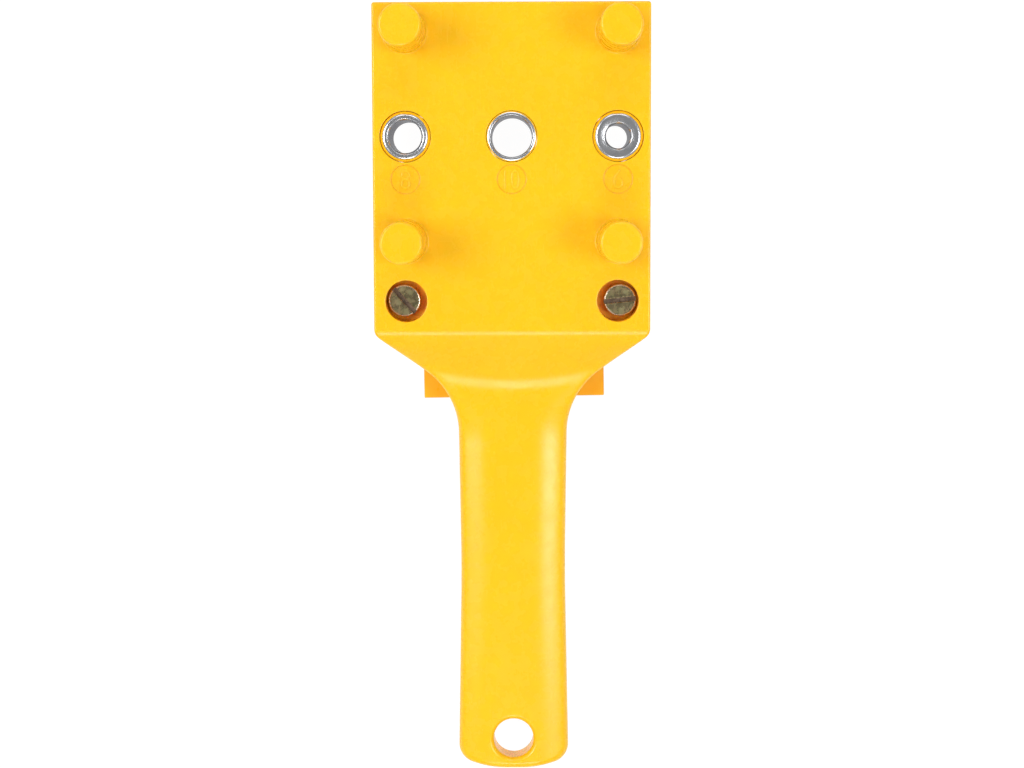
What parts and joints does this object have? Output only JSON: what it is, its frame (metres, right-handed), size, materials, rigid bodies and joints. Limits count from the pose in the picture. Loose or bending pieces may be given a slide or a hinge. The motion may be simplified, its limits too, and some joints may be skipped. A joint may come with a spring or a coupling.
{
  "type": "doweling jig",
  "caption": "Hand-held doweling jig: a moulded plate with centring pegs, steel drill bushes, a sliding fence clamped by slotted screws, and a flat grip with a hang hole.",
  "frame": {"origin": "centre of the bounding box at the surface that the jig lies on, pegs up", "axes": "+Z out of the drilling face along the pegs, +Y from the grip to the head, +X towards the 6 mm bush"},
  "size_m": [0.068, 0.1924, 0.0473],
  "materials": {
    "body_plastic": "satin moulded ABS, warm yellow",
    "fence_plastic": "satin moulded ABS, orange yellow",
    "bush_steel": "turned and hardened, bright",
    "yellow_zinc": "yellow passivated zinc plate"
  },
  "bodies": {
    "jig": {"jig_body": "body_plastic", "drill_bush_8mm": "bush_steel", "drill_bush_10mm": "bush_steel", "drill_bush_6mm": "bush_steel", "square_nut_left": "yellow_zinc", "square_nut_right": "yellow_zinc"},
    "fence": {"fence": "fence_plastic"},
    "clamp_screw_left": {"clamp_screw_left": "yellow_zinc"},
    "clamp_screw_right": {"clamp_screw_right": "yellow_zinc"}
  },
  "joints": [
    {"name": "fence_slide", "type": "slide", "parent": "jig", "child": "fence", "axis": [0, 1, 0], "range_m": [-0.007, 0.007]},
    {"name": "clamp_screw_left_turn", "type": "hinge", "parent": "jig", "child": "clamp_screw_left", "pos_m": [-0.02665, 0.02345, 0.0216], "axis": [0, 0, 1], "range_deg": [0, 360]},
    {"name": "clamp_screw_right_turn", "type": "hinge", "parent": "jig", "child": "clamp_screw_right", "pos_m": [0.02665, 0.02345, 0.0216], "axis": [0, 0, 1], "range_deg": [0, 360]}
  ]
}
